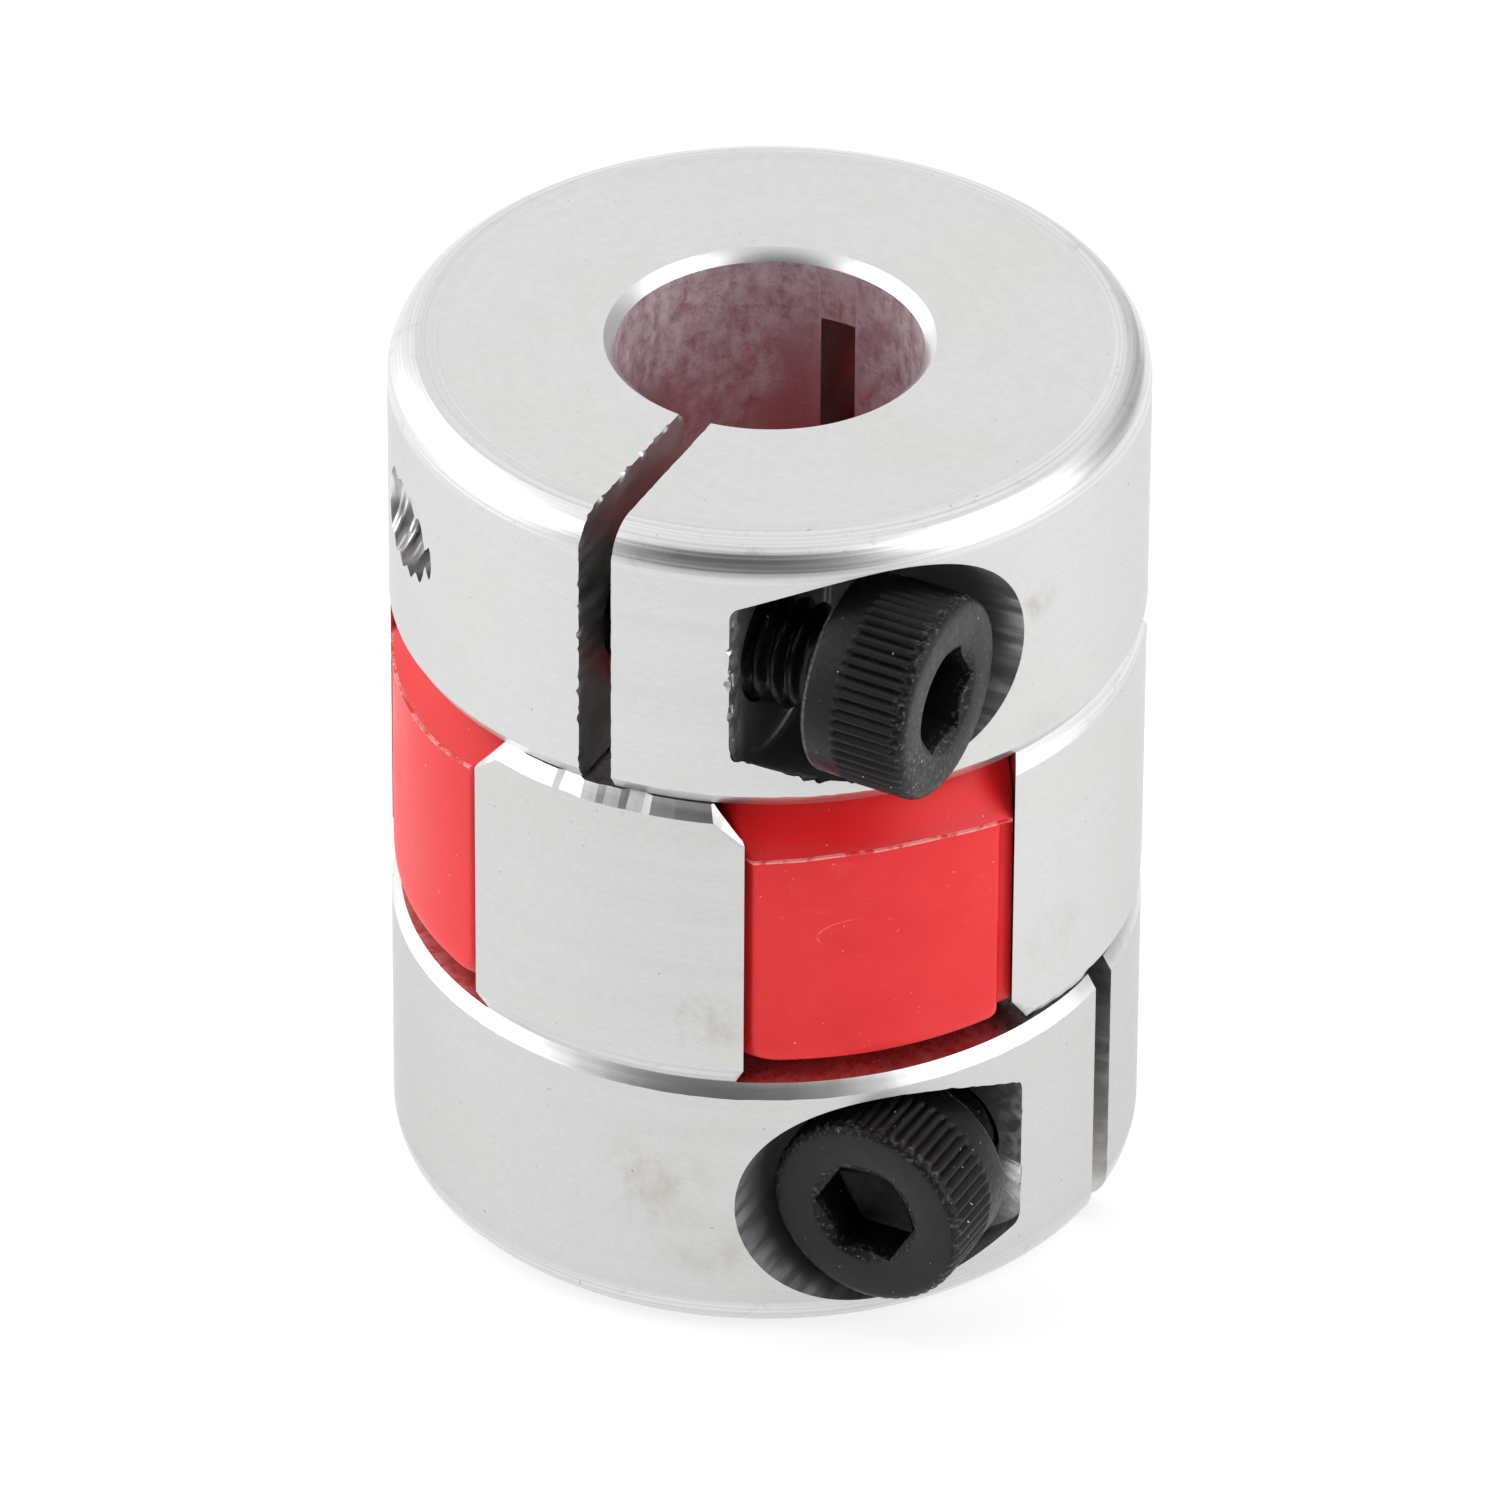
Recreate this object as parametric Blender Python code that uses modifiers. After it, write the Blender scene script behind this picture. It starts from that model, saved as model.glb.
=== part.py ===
"""Clamping jaw coupling, 20 mm across and 25 mm long, for two 8 mm shafts.

Two equal aluminium hubs face each other with their jaws interlaced. A four-lobed
elastomer spider fills the spaces between the jaws. Each hub is slit along its length
and closed on its shaft by one M3 socket head cap screw, which lies across the slit.

The coupling turns about Z. The origin is on that axis, at the lower end face.
"""

import math

import bmesh
import bpy
from mathutils import Matrix, Quaternion, Vector

MM = 0.001

# The whole coupling
OUTER_R = 10.0 * MM
LENGTH = 25.0 * MM
BORE_R = 4.05 * MM
HUB_LENGTH = 8.05 * MM
TIP_GAP = 0.10 * MM
SEGMENTS = 72

# Edges of a hub
END_FILLET = 1.05 * MM
FILLET_STEPS = 5
BORE_CHAMFER = 0.30 * MM
TIP_CHAMFER = 0.40 * MM
GROOVE_DEPTH = 0.25 * MM
GROOVE_ABOVE = 0.39 * MM
GROOVE_BELOW = 0.53 * MM
GROOVE_DROP = 0.02 * MM

# Jaws: each lobe space is a round milled pocket on its own pitch circle
LOBE_COUNT = 4
LOBE_PITCH_R = 7.9 * MM
LOBE_SPACE_R = 3.957 * MM
LEAD_IN_WIDTH = 0.45 * MM
LEAD_IN_HEIGHT = 0.95 * MM
JAW_INNER_R = 5.3 * MM

# Clamp
SLIT_WIDTH = 0.9 * MM
RELIEF_WIDTH = 1.0 * MM
RELIEF_DEPTH = 2.0 * MM
RELIEF_BELOW_END = 1.9 * MM
SCREW_OFFSET = 7.0 * MM
SCREW_BELOW_END = 4.15 * MM
SEAT_FROM_SLIT = 3.55 * MM
POCKET_R = 3.25 * MM
CLEARANCE_R = 1.7 * MM
TAPPED_R = 1.55 * MM
TAPPED_LENGTH = 4.6 * MM
THREAD_CORE_R = 1.25 * MM

# M3 x 8 socket head cap screw
HEAD_R = 2.75 * MM
HEAD_LENGTH = 3.0 * MM
HEAD_EDGE = 0.25 * MM
SHANK_R = 1.45 * MM
SHANK_LENGTH = 8.0 * MM
SHANK_TIP = 0.3 * MM
SOCKET_ACROSS_FLATS = 2.5 * MM
SOCKET_DEPTH = 1.5 * MM
SCREW_SEGMENTS = 48
UPPER_BACKED_OUT = 2.15 * MM
LOWER_BACKED_OUT = 1.55 * MM

# Spider
SPIDER_THICKNESS = 8.0 * MM
SPIDER_R = 9.8 * MM
SPIDER_HOLE_R = 3.0 * MM
SPIDER_RING_R = 5.0 * MM
LOBE_R = 3.75 * MM
LOBE_SEGMENTS = 48
SPIDER_SLOPE_START = 2.75 * MM
SPIDER_SLOPE_TOP_R = 8.6 * MM
SPIDER_LOWER_BEVEL = 0.35 * MM

# Worked out from the sizes above; heights are from the middle of the coupling
MIDDLE = LENGTH / 2
END_Z = LENGTH / 2
FACE_Z = END_Z - HUB_LENGTH
TIP_Z = TIP_GAP - FACE_Z
SCREW_Z = END_Z - SCREW_BELOW_END
PAST = 2.0 * MM
MERGE = 0.00001
SHARP_ANGLE = math.radians(30)


def clear_scene():
    for obj in list(bpy.data.objects):
        bpy.data.objects.remove(obj, do_unlink=True)


def new_collection(name):
    collection = bpy.data.collections.new(name)
    bpy.context.scene.collection.children.link(collection)
    return collection


def make_material(name, color, metallic, roughness):
    material = bpy.data.materials.new(name)
    material.use_nodes = True
    shader = material.node_tree.nodes["Principled BSDF"]
    shader.inputs["Base Color"].default_value = (*color, 1.0)
    shader.inputs["Metallic"].default_value = metallic
    shader.inputs["Roughness"].default_value = roughness
    return material


def add_object(name, mesh, collection):
    obj = bpy.data.objects.new(name, mesh)
    collection.objects.link(obj)
    return obj


def add_helper(name, mesh, helpers):
    """A blank or a cutter: it shapes the parts and isn't one itself."""
    obj = add_object(name, mesh, helpers)
    obj.hide_render = True
    obj.display_type = "WIRE"
    return obj


def primitive(name, helpers, create, matrix, **sizes):
    mesh = bpy.data.meshes.new(name)
    shape = bmesh.new()
    create(shape, matrix=matrix, **sizes)
    shape.to_mesh(mesh)
    shape.free()
    return add_helper(name, mesh, helpers)


def box(name, helpers, low, high):
    low = Vector(low)
    high = Vector(high)
    matrix = Matrix.Translation((low + high) / 2) @ Matrix.Diagonal((*(high - low), 1.0))
    return primitive(name, helpers, bmesh.ops.create_cube, matrix, size=1.0)


def rod(name, helpers, radius, start, end, segments=SCREW_SEGMENTS):
    """A cylinder between two points; with six segments it is a hexagonal prism."""
    start = Vector(start)
    end = Vector(end)
    along = end - start
    turn = Vector((0, 0, 1)).rotation_difference(along).to_matrix().to_4x4()
    matrix = Matrix.Translation((start + end) / 2) @ turn
    return primitive(
        name, helpers, bmesh.ops.create_cone, matrix, cap_ends=True, cap_tris=False,
        segments=segments, radius1=radius, radius2=radius, depth=along.length,
    )


def arc(center, radius, first_degrees, last_degrees, steps):
    """Points (r, z) on an arc, both ends included."""
    points = []
    for i in range(steps + 1):
        angle = math.radians(first_degrees + (last_degrees - first_degrees) * i / steps)
        point = (center[0] + radius * math.cos(angle), center[1] + radius * math.sin(angle))
        points.append(point)
    return points


def turned(name, helpers, profile, segments, closed):
    """A solid of revolution about Z. The profile runs down the outer side first."""
    count = len(profile)
    edges = [(i, i + 1) for i in range(count - 1)]
    if closed:
        edges.append((count - 1, 0))
    mesh = bpy.data.meshes.new(name)
    mesh.from_pydata([(r, 0, z) for r, z in profile], edges, [])
    obj = add_helper(name, mesh, helpers)
    screw = obj.modifiers.new("Turn", "SCREW")
    screw.axis = "Z"
    screw.angle = math.tau
    screw.steps = segments
    screw.render_steps = segments
    screw.use_merge_vertices = True
    screw.merge_threshold = MERGE
    return obj


def combine(obj, other, operation):
    modifier = obj.modifiers.new(other.name, "BOOLEAN")
    modifier.operation = operation
    modifier.solver = "EXACT"
    modifier.object = other


def finished_mesh(name, blank, material):
    """The blank's shape with its modifiers applied, ready for one or more objects."""
    graph = bpy.context.evaluated_depsgraph_get()
    mesh = bpy.data.meshes.new_from_object(blank.evaluated_get(graph))
    mesh.name = name
    mesh.materials.clear()
    mesh.materials.append(material)
    mesh.shade_smooth()
    mesh.set_sharp_from_angle(angle=SHARP_ANGLE)
    return mesh


def hub_profile():
    outside = [(BORE_R + BORE_CHAMFER, END_Z)]
    fillet_center = (OUTER_R - END_FILLET, END_Z - END_FILLET)
    outside += arc(fillet_center, END_FILLET, 90, 0, FILLET_STEPS)
    outside += [
        (OUTER_R, FACE_Z + GROOVE_ABOVE),
        (OUTER_R - GROOVE_DEPTH, FACE_Z - GROOVE_DROP),
        (OUTER_R, FACE_Z - GROOVE_BELOW),
        (OUTER_R, TIP_Z + TIP_CHAMFER),
        (OUTER_R - TIP_CHAMFER, TIP_Z),
    ]
    inside = [
        (JAW_INNER_R, TIP_Z),
        (JAW_INNER_R, FACE_Z),
        (BORE_R + BORE_CHAMFER, FACE_Z),
        (BORE_R, FACE_Z + BORE_CHAMFER),
        (BORE_R, END_Z - BORE_CHAMFER),
    ]
    return outside + inside


def lobe_space_profile():
    """A milling cutter's path, flared at the jaw tips so that the spider slides in."""
    return [
        (0, FACE_Z),
        (LOBE_SPACE_R, FACE_Z),
        (LOBE_SPACE_R, TIP_Z + LEAD_IN_HEIGHT),
        (LOBE_SPACE_R + LEAD_IN_WIDTH * (1 + PAST / LEAD_IN_HEIGHT), TIP_Z - PAST),
        (0, TIP_Z - PAST),
    ]


def cut_jaws(hub, helpers):
    """Leaves two jaws, at +X and -X, below the hub's inner face."""
    for i in range(LOBE_COUNT):
        angle = math.radians(45 + 90 * i)
        name = f"lobe_space_{i + 1}"
        space = turned(name, helpers, lobe_space_profile(), LOBE_SEGMENTS, closed=False)
        space.location = (LOBE_PITCH_R * math.cos(angle), LOBE_PITCH_R * math.sin(angle), 0)
        combine(hub, space, "DIFFERENCE")
    reach = OUTER_R + PAST
    for side in (-1, 1):
        wedge = bpy.data.meshes.new(f"jaw_space_{side}")
        shape = bmesh.new()
        corners = [(0, 0), (-reach, side * reach), (reach, side * reach)]
        face = shape.faces.new([shape.verts.new((x, y, TIP_Z - PAST)) for x, y in corners])
        raised = bmesh.ops.extrude_face_region(shape, geom=[face])["geom"]
        top = [v for v in raised if isinstance(v, bmesh.types.BMVert)]
        bmesh.ops.translate(shape, verts=top, vec=(0, 0, FACE_Z - TIP_Z + PAST))
        bmesh.ops.recalc_face_normals(shape, faces=shape.faces)
        shape.to_mesh(wedge)
        shape.free()
        combine(hub, add_helper(wedge.name, wedge, helpers), "DIFFERENCE")


def cut_clamp(hub, helpers):
    """The slit at -Y, the relief slot facing it, and the screw's pocket and holes."""
    slit = box(
        "slit", helpers,
        (-SLIT_WIDTH / 2, -OUTER_R - PAST, FACE_Z - PAST / 4),
        (SLIT_WIDTH / 2, -BORE_R / 2, END_Z + PAST),
    )
    relief = box(
        "relief_slot", helpers,
        (-RELIEF_WIDTH / 2, BORE_R / 2, FACE_Z - PAST / 4),
        (RELIEF_WIDTH / 2, BORE_R + RELIEF_DEPTH, END_Z - RELIEF_BELOW_END),
    )
    pocket = rod(
        "head_pocket", helpers, POCKET_R,
        (SEAT_FROM_SLIT, -SCREW_OFFSET, SCREW_Z),
        (OUTER_R + PAST, -SCREW_OFFSET, SCREW_Z),
        SEGMENTS,
    )
    clearance = rod(
        "clearance_hole", helpers, CLEARANCE_R,
        (0, -SCREW_OFFSET, SCREW_Z),
        (SEAT_FROM_SLIT + PAST, -SCREW_OFFSET, SCREW_Z),
    )
    tapped = rod(
        "tapped_hole", helpers, TAPPED_R,
        (-TAPPED_LENGTH, -SCREW_OFFSET, SCREW_Z),
        (0, -SCREW_OFFSET, SCREW_Z),
    )
    # Beyond the seated screw's tip, the hole is as narrow as the thread's crests leave it
    core = rod(
        "thread_core", helpers, THREAD_CORE_R,
        (-OUTER_R - PAST, -SCREW_OFFSET, SCREW_Z),
        (-TAPPED_LENGTH / 2, -SCREW_OFFSET, SCREW_Z),
    )
    for cutter in (slit, relief, pocket, clearance, tapped, core):
        combine(hub, cutter, "DIFFERENCE")


def hub_mesh(helpers, material):
    """One hub as the upper one stands, measured from the middle of the coupling."""
    blank = turned("hub_blank", helpers, hub_profile(), SEGMENTS, closed=True)
    cut_jaws(blank, helpers)
    cut_clamp(blank, helpers)
    return finished_mesh("jaw_hub", blank, material)


def screw_mesh(helpers, material):
    """The head stands on the plane z = 0 and the shank runs down from it."""
    profile = [
        (0, HEAD_LENGTH),
        (HEAD_R - HEAD_EDGE, HEAD_LENGTH),
        (HEAD_R, HEAD_LENGTH - HEAD_EDGE),
        (HEAD_R, 0),
        (SHANK_R, 0),
        (SHANK_R, SHANK_TIP - SHANK_LENGTH),
        (SHANK_R - SHANK_TIP, -SHANK_LENGTH),
        (0, -SHANK_LENGTH),
    ]
    blank = turned("screw_blank", helpers, profile, SCREW_SEGMENTS, closed=False)
    corner_r = SOCKET_ACROSS_FLATS / math.sqrt(3)
    socket = rod(
        "hex_socket", helpers, corner_r,
        (0, 0, HEAD_LENGTH - SOCKET_DEPTH),
        (0, 0, HEAD_LENGTH + PAST),
        segments=6,
    )
    combine(blank, socket, "DIFFERENCE")
    return finished_mesh("cap_screw", blank, material)


def spider_mesh(helpers, material):
    """Four round lobes on a ring, trimmed to a turned outline."""
    half = SPIDER_THICKNESS / 2
    outline = [
        (SPIDER_HOLE_R, half),
        (SPIDER_SLOPE_TOP_R, half),
        (SPIDER_R, SPIDER_SLOPE_START),
        (SPIDER_R, SPIDER_LOWER_BEVEL - half),
        (SPIDER_R - SPIDER_LOWER_BEVEL, -half),
        (SPIDER_HOLE_R, -half),
    ]
    reach = half + PAST
    blank = rod("spider_ring", helpers, SPIDER_RING_R, (0, 0, -reach), (0, 0, reach), SEGMENTS)
    for i in range(LOBE_COUNT):
        angle = math.radians(45 + 90 * i)
        x = LOBE_PITCH_R * math.cos(angle)
        y = LOBE_PITCH_R * math.sin(angle)
        taller = reach + (i + 1) * PAST / 4
        lobe = rod(f"lobe_{i + 1}", helpers, LOBE_R, (x, y, -taller), (x, y, taller), LOBE_SEGMENTS)
        combine(blank, lobe, "UNION")
    outer = turned("spider_outline", helpers, outline, SEGMENTS, closed=True)
    combine(blank, outer, "INTERSECT")
    return finished_mesh("spider", blank, material)


def place_hubs(parts, mesh):
    upper = add_object("upper_hub", mesh, parts)
    upper.location = (0, 0, MIDDLE)
    lower = add_object("lower_hub", mesh, parts)
    lower.location = (0, 0, MIDDLE)
    # Half a turn about the horizontal line midway between +X and -Y: the lower hub is
    # the same part, end over end, with its jaws in the spaces between the upper one's.
    lower.rotation_mode = "QUATERNION"
    lower.rotation_quaternion = Quaternion((1, -1, 0), math.pi)
    return upper, lower


def place_screw(name, parts, mesh, hub, backed_out):
    """The object's origin is on the screw's axis, under its head."""
    screw = add_object(name, mesh, parts)
    screw.parent = hub
    screw.location = (SEAT_FROM_SLIT + backed_out, -SCREW_OFFSET, SCREW_Z)
    screw.rotation_euler = (0, math.pi / 2, 0)


def main():
    clear_scene()
    parts = new_collection("jaw_coupling")
    helpers = new_collection("blanks_and_cutters")
    aluminium = make_material("satin_aluminium", (0.78, 0.78, 0.77), 1.0, 0.35)
    polyurethane = make_material("red_polyurethane", (0.62, 0.035, 0.03), 0.0, 0.4)
    black_oxide = make_material("black_oxide_steel", (0.03, 0.03, 0.032), 0.6, 0.45)

    upper, lower = place_hubs(parts, hub_mesh(helpers, aluminium))
    spider = add_object("spider", spider_mesh(helpers, polyurethane), parts)
    spider.location = (0, 0, MIDDLE)
    cap_screw = screw_mesh(helpers, black_oxide)
    place_screw("upper_clamp_screw", parts, cap_screw, upper, UPPER_BACKED_OUT)
    place_screw("lower_clamp_screw", parts, cap_screw, lower, LOWER_BACKED_OUT)


main()
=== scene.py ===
"""Looks of a clamping jaw coupling: fine hubs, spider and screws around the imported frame."""

import math
import random

import bmesh
import bpy
from mathutils import Matrix, Quaternion, Vector, noise


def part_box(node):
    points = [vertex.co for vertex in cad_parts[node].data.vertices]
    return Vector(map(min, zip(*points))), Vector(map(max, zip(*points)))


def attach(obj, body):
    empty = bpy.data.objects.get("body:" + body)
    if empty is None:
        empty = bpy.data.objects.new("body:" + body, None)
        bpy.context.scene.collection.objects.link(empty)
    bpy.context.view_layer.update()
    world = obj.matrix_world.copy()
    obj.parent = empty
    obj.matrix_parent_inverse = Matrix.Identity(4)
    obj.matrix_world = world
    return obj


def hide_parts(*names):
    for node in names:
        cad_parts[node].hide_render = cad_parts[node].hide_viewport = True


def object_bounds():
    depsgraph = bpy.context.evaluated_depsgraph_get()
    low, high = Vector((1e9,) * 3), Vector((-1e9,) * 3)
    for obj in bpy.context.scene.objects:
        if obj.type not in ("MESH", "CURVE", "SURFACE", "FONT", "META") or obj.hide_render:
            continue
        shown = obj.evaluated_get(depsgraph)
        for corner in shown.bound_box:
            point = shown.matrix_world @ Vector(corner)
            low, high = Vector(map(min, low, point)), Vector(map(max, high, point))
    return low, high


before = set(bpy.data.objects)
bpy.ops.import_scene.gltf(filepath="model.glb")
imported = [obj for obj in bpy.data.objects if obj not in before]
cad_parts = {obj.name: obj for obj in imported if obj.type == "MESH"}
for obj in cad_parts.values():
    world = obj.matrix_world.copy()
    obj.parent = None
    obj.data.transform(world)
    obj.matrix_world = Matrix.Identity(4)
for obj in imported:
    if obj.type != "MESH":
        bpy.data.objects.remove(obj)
cad_low, cad_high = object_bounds()

MM = 0.001

# -------------------- sizes from the frame
upper_low, upper_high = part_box("upper_hub")
spider_low, spider_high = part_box("spider")
upper_screw_low, upper_screw_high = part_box("upper_clamp_screw")

OUTER_R = (upper_high.x - upper_low.x) / 2
END_Z = (cad_high.z - cad_low.z) / 2
TIP_Z = upper_low.z - END_Z
SCREW_OFFSET = -(upper_screw_low.y + upper_screw_high.y) / 2
SCREW_Z = (upper_screw_low.z + upper_screw_high.z) / 2 - END_Z
HEAD_R = (upper_screw_high.z - upper_screw_low.z) / 2
SCREW_LENGTH = upper_screw_high.x - upper_screw_low.x
SPIDER_HALF = (spider_high.z - spider_low.z) / 2

# -------------------- sizes of the hub
TURNED_SEGMENTS = 288
LOBE_SPACE_SEGMENTS = 120
POCKET_SEGMENTS = 220
ROD_SEGMENTS = 96
BORE_R = 4.05 * MM
BORE_CHAMFER = 0.30 * MM
FACE_Z = 4.45 * MM
END_FILLET = 1.05 * MM
FILLET_STEPS = 36
FILLET_MARK = 0.005 * MM
TOOL_RINGS = (8.62, 8.76)    # radii of two fine grooves in the end face, in mm
WALL_ROWS = 15
JAW_ROWS = 12
TIP_CHAMFER = 0.42 * MM
TIP_CHAMFER_DEEP = 0.30 * MM
FACET_SIZE = 0.8 * MM
TIP_FACET_SEGMENTS = 3
TIP_FACET_DEEP = 0.085 * MM
TIP_FACET_RISE = 0.022 * MM
GROOVE_WAVER = 0.012 * MM
SAME_ROW = 0.01 * MM
GROOVE_DEPTH = 0.25 * MM
GROOVE_ABOVE = 0.39 * MM
GROOVE_BELOW = 0.53 * MM
LOBE_PITCH_R = 7.9 * MM
LOBE_SPACE_R = 3.957 * MM
LEAD_IN_WIDTH = 0.45 * MM
LEAD_IN_HEIGHT = 0.95 * MM
JAW_INNER_R = 5.3 * MM
SLIT_WIDTH = 0.93 * MM
RELIEF_WIDTH = 1.0 * MM
RELIEF_DEPTH = 2.0 * MM
RELIEF_BELOW_END = 1.9 * MM
SEAT_FROM_SLIT = 3.55 * MM
POCKET_R = 3.25 * MM
POCKET_CORNER = 0.2 * MM
POCKET_BITE = 0.36 * MM
BURR_DEPTH = 0.14 * MM
SLIT_BITE = 0.20 * MM
BITE_GRAIN = 4.6             # noise cells per mm along a torn edge
BITE_REACH = 0.16 * MM       # how far below the skin the nicks reach
CLEARANCE_R = 1.7 * MM
TAPPED_R = 1.62 * MM
TAPPED_LENGTH = 4.6 * MM
THREAD_PITCH = 0.5 * MM
THREAD_CORE_R = 1.12 * MM
THREAD_ROOT_R = 1.32 * MM
THREAD_LEAN = (0.045, 0.075)
THREAD_SEGMENTS = 56
THREAD_STEPS = 8
EDGE_BEVEL = 0.035 * MM
MERGE_DISTANCE = 0.002 * MM
PAST = 2.0 * MM

# -------------------- sizes of the spider
SPIDER_RING_R = 5.0 * MM
LOBE_R = 3.75 * MM
TOUCHING_LOBE_R = 3.94 * MM
RING_BLEND = 0.35 * MM
LEDGE_DEEP = 0.125
FLASH_Z = 2.84 * MM

# -------------------- sizes of a screw
HEAD_LENGTH = 3.0 * MM
HEAD_ROUND = 0.36 * MM
KNURL_TEETH = 54
KNURL_DEPTH = 0.13 * MM
KNURL_START = 0.95 * MM
KNURL_POINTS = 6             # points of a ring for each tooth
SHANK_R = 1.47 * MM
SHANK_ROOT_R = 1.20 * MM
SHANK_STEPS = 10
SOCKET_ACROSS_FLATS = 2.56 * MM
SOCKET_DEPTH = 1.5 * MM


# ==================== mesh helpers
def add_object(name, data):
    obj = bpy.data.objects.new(name, data)
    bpy.context.scene.collection.objects.link(obj)
    return obj


def finished(build, name):
    """Turns a bmesh into a mesh with its faces outward."""
    bmesh.ops.recalc_face_normals(build, faces=build.faces)
    mesh = bpy.data.meshes.new(name)
    build.to_mesh(mesh)
    build.free()
    return mesh


def stretch(ring, k, count):
    """The points of share k of a ring that is cut into count shares."""
    per_share = max(1, len(ring) // count)
    return [ring[(k * per_share + i) % len(ring)] for i in range(per_share + 1)]


def rings_mesh(name, rings, closed=False, slots=None):
    """Joins rings of points into a skin; a ring of one point is a pole. One ring may have
    a multiple of its neighbour's points. closed joins the last ring to the first, and slots
    gives a material slot for each band."""
    build = bmesh.new()
    loops = [[build.verts.new(p) for p in ring] for ring in rings]
    pairs = list(range(len(loops) - 1))
    if closed:
        pairs.append(len(loops) - 1)
    for i in pairs:
        first = loops[i]
        second = loops[(i + 1) % len(loops)]
        count = max(min(len(first), len(second)), 1)
        if count == 1:
            count = max(len(first), len(second))
        for k in range(count):
            corners = stretch(first, k, count) + stretch(second, k, count)[::-1]
            face = build.faces.new(list(dict.fromkeys(corners)))
            face.material_index = slots[i] if slots else 0
    return finished(build, name)


def turned_mesh(name, profile, segments, closed=False, slots=None, shift=None):
    """A profile of (r, z) turned about Z. shift(angle, r, z) may move a point of the profile."""
    rings = []
    for r, z in profile:
        if r == 0:
            rings.append([(0, 0, z)])
            continue
        ring = []
        for k in range(segments):
            angle = math.tau * k / segments
            rr, zz = shift(angle, r, z) if shift else (r, z)
            ring.append((rr * math.cos(angle), rr * math.sin(angle), zz))
        rings.append(ring)
    return rings_mesh(name, rings, closed, slots)


def give_slot(mesh, slot):
    for polygon in mesh.polygons:
        polygon.material_index = slot


def set_materials(obj, materials):
    """Fills the mesh's slots in place: clearing them would reset the slot of every face."""
    slots = obj.data.materials
    for i, material in enumerate(materials):
        if i < len(slots):
            slots[i] = material
        else:
            slots.append(material)


def subtract(obj, other):
    modifier = obj.modifiers.new(other.name, "BOOLEAN")
    modifier.operation = "DIFFERENCE"
    modifier.solver = "EXACT"
    modifier.object = other


def apply_all(obj, helpers=()):
    """Replaces the mesh by its evaluated one, and removes the cutters."""
    graph = bpy.context.evaluated_depsgraph_get()
    done = bpy.data.meshes.new_from_object(obj.evaluated_get(graph))
    obj.modifiers.clear()
    obj.data = done
    for helper in helpers:
        bpy.data.objects.remove(helper)


def put_in_order(build):
    """Sorts a cut mesh by place: the Boolean's own order changes from run to run, and the
    merge below would follow it."""
    for rank, vert in enumerate(sorted(build.verts, key=lambda v: v.co[:])):
        vert.index = rank
    build.verts.sort()
    for elements in (build.edges, build.faces):
        ordered = sorted(elements, key=lambda e: sorted(v.index for v in e.verts))
        for rank, element in enumerate(ordered):
            element.index = rank
        elements.sort()


def tidy_mesh(mesh):
    """Merges the slivers that a Boolean leaves."""
    build = bmesh.new()
    build.from_mesh(mesh)
    put_in_order(build)
    bmesh.ops.remove_doubles(build, verts=build.verts, dist=MERGE_DISTANCE)
    bmesh.ops.dissolve_degenerate(build, edges=build.edges, dist=MERGE_DISTANCE)
    build.to_mesh(mesh)
    build.free()


def round_edges(obj, width, segments, angle):
    modifier = obj.modifiers.new("Edges", "BEVEL")
    modifier.width = width
    modifier.segments = segments
    modifier.limit_method = "ANGLE"
    modifier.angle_limit = math.radians(angle)
    modifier.use_clamp_overlap = True
    modifier.miter_outer = "MITER_ARC"


def smooth(obj, degrees):
    obj.data.shade_smooth()
    obj.data.set_sharp_from_angle(angle=math.radians(degrees))


def box_mesh(name, low, high, cuts=(1, 1, 1)):
    build = bmesh.new()
    low = Vector(low)
    high = Vector(high)
    matrix = Matrix.Translation((low + high) / 2) @ Matrix.Diagonal((*(high - low), 1.0))
    bmesh.ops.create_cube(build, size=1.0, matrix=matrix)
    for axis in range(3):
        for step in range(1, cuts[axis]):
            normal = Vector((0, 0, 0))
            normal[axis] = 1
            place = Vector((0, 0, 0))
            place[axis] = low[axis] + (high[axis] - low[axis]) * step / cuts[axis]
            geometry = build.verts[:] + build.edges[:] + build.faces[:]
            bmesh.ops.bisect_plane(build, geom=geometry, plane_co=place, plane_no=normal)
    return finished(build, name)


def along(mesh, start, direction):
    """Turns a shape made along +Z so that it runs along direction from start."""
    turn = Vector((0, 0, 1)).rotation_difference(Vector(direction)).to_matrix().to_4x4()
    mesh.transform(Matrix.Translation(Vector(start)) @ turn)
    return mesh


def rod_mesh(name, radius, length):
    profile = [(0, length), (radius, length), (radius, 0), (0, 0)]
    return turned_mesh(name, profile, ROD_SEGMENTS)


def circle_ring(radius, z, count):
    steps = [math.tau * k / count for k in range(count)]
    return [(radius * math.cos(angle), radius * math.sin(angle), z) for angle in steps]


def thread_ring(z, root_r, crest_r, limit, count, fade=1.0):
    """One ring of a right-hand thread, no wider than limit; fade lowers its crests."""
    ring = []
    for k in range(count):
        phase = (z / THREAD_PITCH - k / count) % 1.0
        crest = min(1.0, max(0.0, 1.25 - abs(phase - 0.5) * 2.9))
        r = min(limit, root_r + (crest_r - root_r) * crest * fade)
        angle = math.tau * k / count
        ring.append((r * math.cos(angle), r * math.sin(angle), z))
    return ring


def threaded_mesh(name, crest_r, root_r, length):
    """A right-hand threaded rod along +Z from z = 0."""
    rows = round(length / THREAD_PITCH * THREAD_STEPS)
    heights = [length * (1 - row / rows) for row in range(rows + 1)]
    rings = [thread_ring(z, root_r, crest_r, crest_r, THREAD_SEGMENTS) for z in heights]
    return rings_mesh(name, [[(0, 0, length)], *rings, [(0, 0, 0)]])


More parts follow.
